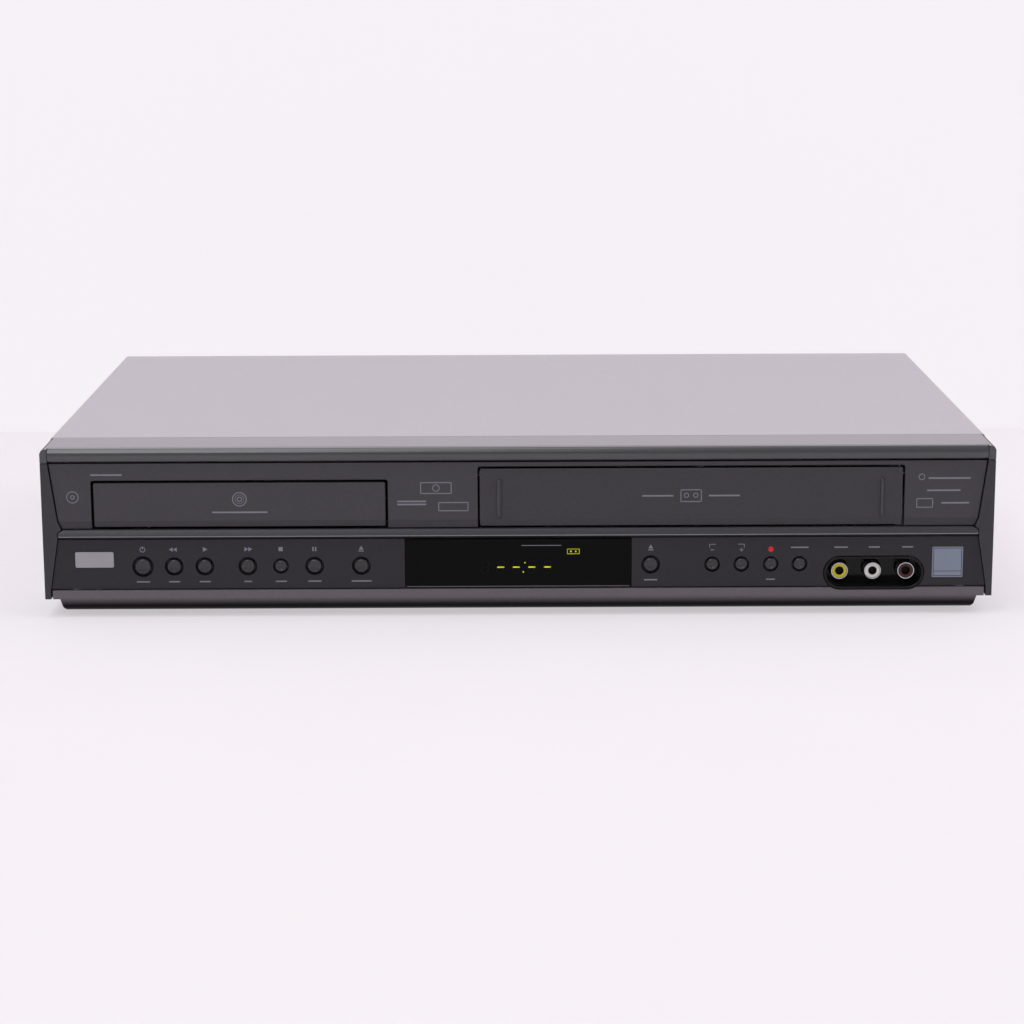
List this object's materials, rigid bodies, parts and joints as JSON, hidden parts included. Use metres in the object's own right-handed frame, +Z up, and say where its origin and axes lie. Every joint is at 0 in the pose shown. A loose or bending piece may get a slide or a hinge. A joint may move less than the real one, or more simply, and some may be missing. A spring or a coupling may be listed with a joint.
{
  "type": "disc and video cassette player",
  "caption": "Low silver-topped cabinet player with a disc tray, a cassette slot behind a flap, round keys, a dark display and front sockets",
  "frame": {"origin": "on the table, under the middle of the whole part", "axes": "+Z up, the front faces -Y, +X to the right as seen from the front"},
  "size_m": [0.43, 0.2816, 0.078],
  "materials": {
    "painted_steel": "satin silver-mauve paint on folded steel",
    "plain_steel": "zinc-plated sheet, lightly brushed",
    "dark_moulding": "fine-grained grey moulding",
    "key_moulding": "smooth dark blue-grey moulding",
    "grey_gloss": "glossy rounded strip",
    "black_gloss": "polished, near black",
    "display_glass": "dark glass of the display tube",
    "black_plastic": "plain black moulding",
    "white_plastic": "natural acetal",
    "circuit_board": "green solder mask",
    "polished_metal": "turned and polished",
    "yellow_socket": "yellow moulding",
    "white_socket": "white moulding",
    "red_socket": "dark red moulding",
    "foot_rubber": "moulded rubber"
  },
  "bodies": {
    "cabinet": {"front_frame": "dark_moulding", "top_trim": "grey_gloss", "door_panel": "dark_moulding", "middle_rail": "dark_moulding", "key_panel": "key_moulding", "display_window": "black_gloss", "display_tube": "display_glass", "front_board": "circuit_board", "socket_plate": "black_gloss", "front_socket_yellow": "yellow_socket", "front_socket_white": "white_socket", "front_socket_red": "red_socket", "chassis_base": "plain_steel", "top_cover": "painted_steel", "rear_sockets": "black_plastic", "mains_inlet": "black_plastic", "rear_panel": "plain_steel", "cover_screw_1": "polished_metal", "cover_screw_2": "polished_metal", "cover_screw_3": "polished_metal", "foot_front_left": "foot_rubber", "foot_front_right": "foot_rubber", "foot_rear_left": "foot_rubber", "foot_rear_right": "foot_rubber", "loader_frame": "black_plastic", "clamp_bridge": "plain_steel", "main_board": "circuit_board", "power_supply": "circuit_board", "deck_plate": "plain_steel", "lower_drum": "polished_metal"},
    "tray": {"disc_tray": "black_plastic", "disc_door": "dark_moulding"},
    "tray_gear": {"tray_gear": "white_plastic"},
    "drive_deck": {"drive_deck": "plain_steel"},
    "turntable": {"turntable": "black_plastic"},
    "pickup_sled": {"pickup_sled": "black_plastic"},
    "clamper": {"clamper": "white_plastic"},
    "cassette_door": {"cassette_door": "dark_moulding"},
    "carriage_slider": {"carriage_slider": "plain_steel"},
    "cassette_holder": {"cassette_holder": "plain_steel"},
    "head_drum": {"head_drum": "polished_metal"},
    "supply_reel": {"supply_reel": "white_plastic"},
    "takeup_reel": {"takeup_reel": "white_plastic"},
    "capstan": {"capstan": "polished_metal"},
    "pinch_arm": {"pinch_arm": "plain_steel"},
    "pinch_roller": {"pinch_roller": "foot_rubber"},
    "entry_guide": {"entry_guide": "polished_metal"},
    "exit_guide": {"exit_guide": "polished_metal"},
    "power_key": {"power_key": "dark_moulding"},
    "rewind_key": {"rewind_key": "dark_moulding"},
    "play_key": {"play_key": "dark_moulding"},
    "forward_key": {"forward_key": "dark_moulding"},
    "stop_key": {"stop_key": "dark_moulding"},
    "pause_key": {"pause_key": "dark_moulding"},
    "tray_key": {"tray_key": "dark_moulding"},
    "eject_key": {"eject_key": "dark_moulding"},
    "tracking_down_key": {"tracking_down_key": "dark_moulding"},
    "tracking_up_key": {"tracking_up_key": "dark_moulding"},
    "record_key": {"record_key": "dark_moulding"},
    "source_key": {"source_key": "dark_moulding"}
  },
  "joints": [
    {"name": "tray_slide", "type": "slide", "parent": "cabinet", "child": "tray", "axis": [0, -1, 0], "range_m": [0, 0.135]},
    {"name": "tray_gear_turn", "type": "hinge", "parent": "cabinet", "child": "tray_gear", "pos_m": [-0.16878, -0.11275, 0.042], "axis": [0, 0, 1], "range_deg": [0, 646]},
    {"name": "drive_deck_lift", "type": "hinge", "parent": "cabinet", "child": "drive_deck", "pos_m": [-0.1257, 0.01485, 0.037], "axis": [-1, 0, 0], "range_deg": [0, 6.6]},
    {"name": "turntable_spin", "type": "hinge", "parent": "drive_deck", "child": "turntable", "pos_m": [-0.1257, -0.06462, 0.0278], "axis": [0, -0.1149, 0.9934], "continuous": true},
    {"name": "clamper_spin", "type": "hinge", "parent": "cabinet", "child": "clamper", "pos_m": [-0.1257, -0.06515, 0.057], "axis": [0, 0, 1], "continuous": true},
    {"name": "sled_slide", "type": "slide", "parent": "drive_deck", "child": "pickup_sled", "axis": [0, 0.9934, 0.1149], "range_m": [0, 0.032]},
    {"name": "cassette_door_swing", "type": "hinge", "parent": "cabinet", "child": "cassette_door", "pos_m": [0.0781, -0.13815, 0.0652], "axis": [1, 0, 0], "range_deg": [0, 80], "stiffness_Nm_per_rad": 0.01},
    {"name": "carriage_in", "type": "slide", "parent": "cabinet", "child": "carriage_slider", "axis": [0, 1, 0], "range_m": [0, 0.048]},
    {"name": "holder_down", "type": "slide", "parent": "carriage_slider", "child": "cassette_holder", "axis": [0, 0, -1], "range_m": [0, 0.0195]},
    {"name": "head_drum_spin", "type": "hinge", "parent": "cabinet", "child": "head_drum", "pos_m": [0.0781, 0.06415, 0.0162], "axis": [0, 0.1045, 0.9945], "continuous": true},
    {"name": "supply_reel_spin", "type": "hinge", "parent": "cabinet", "child": "supply_reel", "pos_m": [0.0321, -0.04085, 0.02], "axis": [0, 0, 1], "continuous": true},
    {"name": "takeup_reel_spin", "type": "hinge", "parent": "cabinet", "child": "takeup_reel", "pos_m": [0.1241, -0.04085, 0.02], "axis": [0, 0, 1], "continuous": true},
    {"name": "capstan_spin", "type": "hinge", "parent": "cabinet", "child": "capstan", "pos_m": [0.1361, 0.02715, 0.02], "axis": [0, 0, 1], "continuous": true},
    {"name": "pinch_arm_swing", "type": "hinge", "parent": "cabinet", "child": "pinch_arm", "pos_m": [0.15672, 0.02131, 0.0165], "axis": [0, 0, 1], "range_deg": [0, 30]},
    {"name": "pinch_roller_spin", "type": "hinge", "parent": "pinch_arm", "child": "pinch_roller", "pos_m": [0.14886, 0.0397, 0.0335], "axis": [0, 0, 1], "continuous": true},
    {"name": "exit_guide_swing", "type": "hinge", "parent": "cabinet", "child": "exit_guide", "pos_m": [0.0781, 0.06415, 0.0162], "axis": [0, 0, 1], "range_deg": [0, 80]},
    {"name": "entry_guide_swing", "type": "hinge", "parent": "cabinet", "child": "entry_guide", "pos_m": [0.0781, 0.06415, 0.0162], "axis": [0, 0, -1], "range_deg": [0, 80]},
    {"name": "power_key_press", "type": "slide", "parent": "cabinet", "child": "power_key", "axis": [0, 1, 0], "range_m": [0, 0.0008], "stiffness_N_per_m": 300},
    {"name": "rewind_key_press", "type": "slide", "parent": "cabinet", "child": "rewind_key", "axis": [0, 1, 0], "range_m": [0, 0.0008], "stiffness_N_per_m": 300},
    {"name": "play_key_press", "type": "slide", "parent": "cabinet", "child": "play_key", "axis": [0, 1, 0], "range_m": [0, 0.0008], "stiffness_N_per_m": 300},
    {"name": "forward_key_press", "type": "slide", "parent": "cabinet", "child": "forward_key", "axis": [0, 1, 0], "range_m": [0, 0.0008], "stiffness_N_per_m": 300},
    {"name": "stop_key_press", "type": "slide", "parent": "cabinet", "child": "stop_key", "axis": [0, 1, 0], "range_m": [0, 0.0008], "stiffness_N_per_m": 300},
    {"name": "pause_key_press", "type": "slide", "parent": "cabinet", "child": "pause_key", "axis": [0, 1, 0], "range_m": [0, 0.0008], "stiffness_N_per_m": 300},
    {"name": "tray_key_press", "type": "slide", "parent": "cabinet", "child": "tray_key", "axis": [0, 1, 0], "range_m": [0, 0.0008], "stiffness_N_per_m": 300},
    {"name": "eject_key_press", "type": "slide", "parent": "cabinet", "child": "eject_key", "axis": [0, 1, 0], "range_m": [0, 0.0008], "stiffness_N_per_m": 300},
    {"name": "tracking_down_key_press", "type": "slide", "parent": "cabinet", "child": "tracking_down_key", "axis": [0, 1, 0], "range_m": [0, 0.0008], "stiffness_N_per_m": 300},
    {"name": "tracking_up_key_press", "type": "slide", "parent": "cabinet", "child": "tracking_up_key", "axis": [0, 1, 0], "range_m": [0, 0.0008], "stiffness_N_per_m": 300},
    {"name": "record_key_press", "type": "slide", "parent": "cabinet", "child": "record_key", "axis": [0, 1, 0], "range_m": [0, 0.0008], "stiffness_N_per_m": 300},
    {"name": "source_key_press", "type": "slide", "parent": "cabinet", "child": "source_key", "axis": [0, 1, 0], "range_m": [0, 0.0008], "stiffness_N_per_m": 300}
  ],
  "couplings": [
    {"joint": "tray_gear_turn", "follows": "tray_slide", "rad_per_m": 83.333},
    {"joint": "clamper_spin", "follows": "turntable_spin", "ratio": 1},
    {"joint": "entry_guide_swing", "follows": "exit_guide_swing", "ratio": 1}
  ]
}
